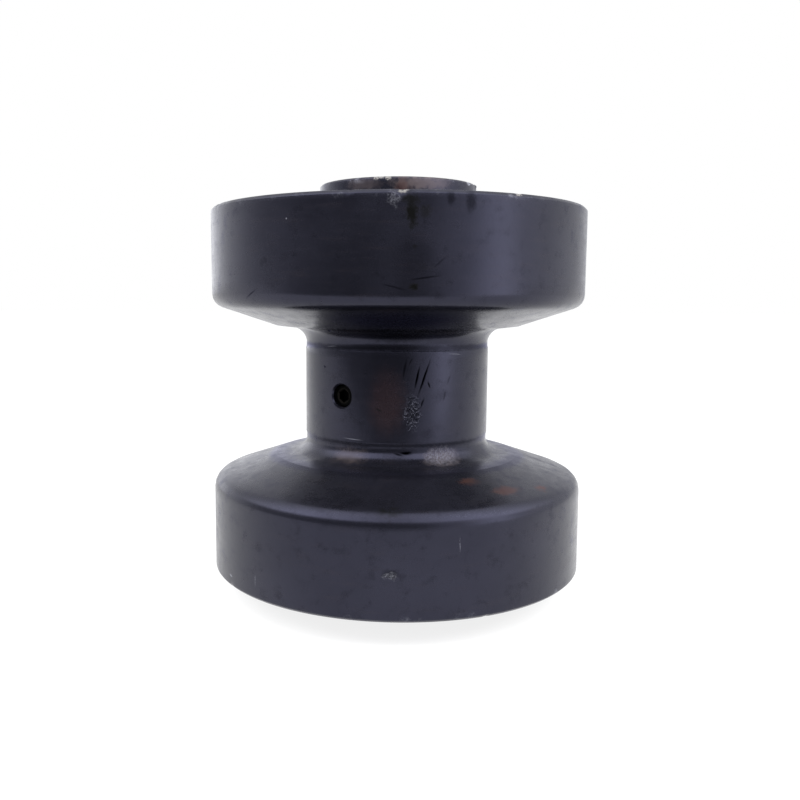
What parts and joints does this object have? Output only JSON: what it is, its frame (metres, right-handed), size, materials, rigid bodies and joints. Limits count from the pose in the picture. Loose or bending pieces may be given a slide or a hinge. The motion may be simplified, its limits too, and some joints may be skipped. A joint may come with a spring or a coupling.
{
  "type": "track roller",
  "caption": "Spool-shaped track roller: wide treads and a narrow neck turning on a bushed, oil-filled, sealed axle with end collars and tapped shaft ends.",
  "frame": {"origin": "centre of the axle, midway between the two collar faces, at the middle of the neck", "axes": "+Z along the axle towards the upper collar, as the roller stands on its lower collar; the filler plug faces 236 degrees round from +X, towards -Y and -X; the lock pins face +Y"},
  "size_m": [0.14, 0.14, 0.153],
  "materials": {
    "shell_paint": "semi-gloss black paint on turned steel, scuffed at the edges",
    "collar_paint": "semi-gloss black paint on turned steel",
    "plug_steel": "blackened steel with dried paint",
    "shaft_steel": "ground steel, faced at the ends",
    "bush_bronze": "sintered bronze running face",
    "washer_bronze": "turned bronze",
    "seal_iron": "cast alloy with a lapped face",
    "seal_rubber": "moulded nitrile rubber",
    "oring_rubber": "moulded nitrile rubber",
    "pin_steel": "hardened spring steel, black oxide"
  },
  "bodies": {
    "axle": {"axle_shaft": "shaft_steel", "collar_upper": "collar_paint", "collar_lower": "collar_paint", "seal_ring_fixed_upper": "seal_iron", "seal_ring_fixed_lower": "seal_iron", "seal_toric_fixed_upper": "seal_rubber", "seal_toric_fixed_lower": "seal_rubber", "shaft_oring_upper": "oring_rubber", "shaft_oring_lower": "oring_rubber", "lock_pin_upper": "pin_steel", "lock_pin_lower": "pin_steel"},
    "roller": {"roller_shell": "shell_paint", "filler_plug": "plug_steel", "bush_upper": "bush_bronze", "bush_lower": "bush_bronze", "thrust_washer_upper": "washer_bronze", "thrust_washer_lower": "washer_bronze", "seal_ring_rotating_upper": "seal_iron", "seal_ring_rotating_lower": "seal_iron", "seal_toric_rotating_upper": "seal_rubber", "seal_toric_rotating_lower": "seal_rubber"}
  },
  "joints": [
    {"name": "roller_spin", "type": "hinge", "parent": "axle", "child": "roller", "pos_m": [0, 0, 0], "axis": [0, 0, 1], "continuous": true}
  ]
}
